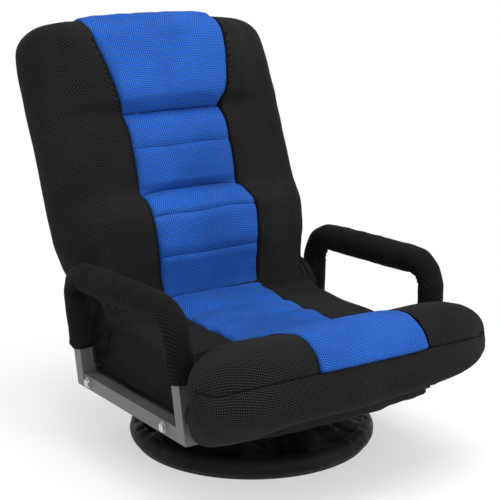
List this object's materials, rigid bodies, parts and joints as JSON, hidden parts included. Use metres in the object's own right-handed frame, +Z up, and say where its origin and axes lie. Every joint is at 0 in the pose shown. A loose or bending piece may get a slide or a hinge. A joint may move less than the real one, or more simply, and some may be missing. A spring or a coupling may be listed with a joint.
{
  "type": "floor gaming chair",
  "caption": "Low swivel floor chair with a reclining padded back, black and blue mesh cushions, two padded arm loops and a round cloth-covered base.",
  "frame": {"origin": "on the floor, on the swivel axis of the round base", "axes": "+Z up; -Y is the way the sitter faces; +X is the sitter's left; drawn in the pictured pose, back leaning 23.8 degrees"},
  "size_m": [0.54, 0.7286, 0.6653],
  "materials": {
    "arm_steel": "satin",
    "frame_steel": "satin",
    "base_steel": "satin",
    "bright_steel": "satin",
    "black_mesh": "matte",
    "blue_mesh": "matte",
    "black_nylon": "satin",
    "webbing": "matte",
    "rubber_band": "matte",
    "black_plastic": "matte"
  },
  "bodies": {
    "base": {"base_ring": "base_steel", "base_band": "rubber_band", "base_cross_long": "base_steel", "base_cross_left": "base_steel", "base_cross_right": "base_steel", "base_cover": "black_nylon", "cover_cord": "black_nylon", "swivel_lower_plate": "bright_steel", "swivel_lower_bolts": "bright_steel", "swivel_balls": "bright_steel", "swivel_rivet": "bright_steel"},
    "seat": {"swivel_upper_plate": "bright_steel", "swivel_upper_bolts": "bright_steel", "seat_rail_left": "frame_steel", "seat_rail_right": "frame_steel", "seat_rail_front": "frame_steel", "seat_rail_rear": "frame_steel", "seat_cross_front": "frame_steel", "seat_cross_rear": "frame_steel", "seat_webbing": "webbing", "seat_bottom_cover": "black_nylon", "seat_cushion": "black_mesh", "seat_center_panel": "blue_mesh", "front_roll": "black_mesh", "front_panel": "blue_mesh", "hinge_bolster": "black_mesh", "arm_tube_left": "arm_steel", "arm_tube_right": "arm_steel", "arm_rail_left": "arm_steel", "arm_rail_right": "arm_steel", "arm_sleeve_left": "black_mesh", "arm_sleeve_right": "black_mesh", "arm_bolts_left": "bright_steel", "arm_bolts_right": "bright_steel", "arm_nuts": "bright_steel", "arm_end_caps": "black_plastic", "hinge_seat_plate_left": "frame_steel", "hinge_seat_plate_right": "frame_steel", "hinge_pin_left": "bright_steel", "hinge_pin_right": "bright_steel"},
    "back": {"hinge_back_plate_left": "frame_steel", "hinge_back_plate_right": "frame_steel", "hinge_rivets": "bright_steel", "pawl_pins": "bright_steel", "back_post_left": "frame_steel", "back_post_right": "frame_steel", "back_rail_top": "frame_steel", "back_rail_low": "frame_steel", "back_webbing": "webbing", "back_cushion": "black_mesh", "back_rear_panel": "black_mesh", "head_cushion": "blue_mesh", "mid_panel": "blue_mesh", "lumbar_panel": "blue_mesh"},
    "pawl_left_body": {"pawl_left": "bright_steel", "pawl_spring_left": "bright_steel"},
    "pawl_right_body": {"pawl_right": "bright_steel", "pawl_spring_right": "bright_steel"}
  },
  "joints": [
    {"name": "swivel", "type": "hinge", "parent": "base", "child": "seat", "pos_m": [0, 0, 0.083], "axis": [0, 0, 1], "continuous": true},
    {"name": "recline", "type": "hinge", "parent": "seat", "child": "back", "pos_m": [0, 0.161, 0.1795], "axis": [-1, 0, 0], "range_deg": [-3, 66.2]},
    {"name": "pawl_left_lift", "type": "hinge", "parent": "back", "child": "pawl_left_body", "pos_m": [0.195, 0.19291, 0.22062], "axis": [-1, 0, 0], "range_deg": [0, 14], "stiffness_Nm_per_rad": 0.05, "springref_deg": -17.19},
    {"name": "pawl_right_lift", "type": "hinge", "parent": "back", "child": "pawl_right_body", "pos_m": [-0.195, 0.19291, 0.22062], "axis": [-1, 0, 0], "range_deg": [0, 14], "stiffness_Nm_per_rad": 0.05, "springref_deg": -17.19}
  ]
}
